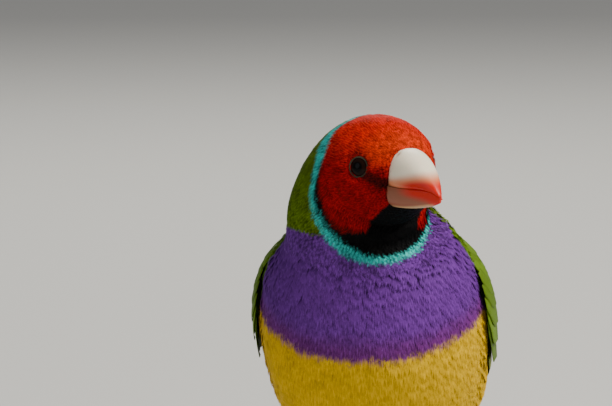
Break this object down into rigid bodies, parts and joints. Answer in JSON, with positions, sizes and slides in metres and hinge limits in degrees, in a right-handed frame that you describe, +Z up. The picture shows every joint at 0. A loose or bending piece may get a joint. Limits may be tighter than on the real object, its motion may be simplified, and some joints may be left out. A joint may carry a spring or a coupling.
{
  "type": "gouldian finch",
  "caption": "Standing gouldian finch with turned red head, purple breast, yellow belly, folded green wings and a long pointed tail.",
  "frame": {"origin": "middle of the bird's bounding box, on the ground between the toes' flats and under the belly", "axes": "+Z up, +Y from the bill towards the tail (the bird faces -Y), +X to the bird's own left"},
  "size_m": [0.0418, 0.1166, 0.087],
  "materials": {
    "breast_feathers": "fine feathers, soft sheen",
    "neck_feathers": "fine feathers, soft sheen",
    "head_feathers": "short dense feathers, silky",
    "bill": "smooth horn, satin",
    "eye": "wet, clear",
    "wing_feathers": "vaned feathers, satin",
    "tail_feathers": "vaned feathers, satin",
    "thigh_feathers": "fine feathers, soft",
    "leg_skin": "scaled skin",
    "claw": "horn, satin"
  },
  "bodies": {
    "root": {"torso": "breast_feathers", "neck": "neck_feathers", "head": "head_feathers", "bill_upper": "bill", "bill_lower": "bill", "eye_left": "eye", "eye_right": "eye", "wing_left": "wing_feathers", "wing_right": "wing_feathers", "tail": "tail_feathers", "thigh_left": "thigh_feathers", "thigh_right": "thigh_feathers", "shank_left": "leg_skin", "shank_right": "leg_skin", "foot_left": "leg_skin", "foot_right": "leg_skin", "claw_inner_left": "claw", "claw_middle_left": "claw", "claw_outer_left": "claw", "claw_hind_left": "claw", "claw_inner_right": "claw", "claw_middle_right": "claw", "claw_outer_right": "claw", "claw_hind_right": "claw"}
  },
  "joints": []
}
